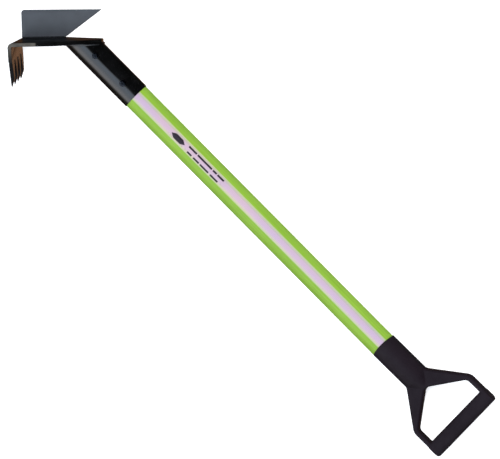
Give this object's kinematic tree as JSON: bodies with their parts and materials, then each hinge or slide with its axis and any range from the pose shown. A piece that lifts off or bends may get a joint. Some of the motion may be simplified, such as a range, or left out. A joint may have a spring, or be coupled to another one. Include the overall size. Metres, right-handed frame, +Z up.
{
  "type": "overhaul hook",
  "caption": "Short fire-service overhaul hook: welded steel rake head with an upright blade, on a fibreglass pole with a moulded D grip.",
  "frame": {"origin": "bottom centre of the box round the tool as it lies on its far side, on the blade's point, the plate's corner and the grip's socket", "axes": "+X along the pole from the head to the D grip, +Z up, which is the plate's broad direction, +Y across the pole"},
  "size_m": [1, 0.1992, 0.1033],
  "materials": {
    "head_paint": "gloss black paint",
    "ferrule_paint": "gloss black paint",
    "weld_paint": "gloss black paint over a weld bead",
    "black_oxide": "black oxide",
    "zinc": "bright zinc plate",
    "nylon": "natural nylon",
    "lime_fibreglass": "gloss lime gel coat",
    "foam": "rigid foam",
    "plug_wood": "turned hardwood",
    "epoxy": "cured epoxy",
    "reflective_tape": "reflective tape",
    "label_film": "printed film",
    "black_moulding": "fine moulded grain"
  },
  "bodies": {
    "root": {"rake_plate": "head_paint", "hook_blade": "head_paint", "blade_weld": "weld_paint", "ferrule": "ferrule_paint", "ferrule_weld": "weld_paint", "ferrule_screws": "black_oxide", "ferrule_washers": "zinc", "lock_nuts": "zinc", "lock_nut_inserts": "nylon", "pole_tube": "lime_fibreglass", "foam_core": "foam", "bolt_plug": "plug_wood", "ferrule_adhesive": "epoxy", "grip_adhesive": "epoxy", "reflective_stripe": "reflective_tape", "label_decal": "label_film", "d_grip": "black_moulding"}
  },
  "joints": []
}
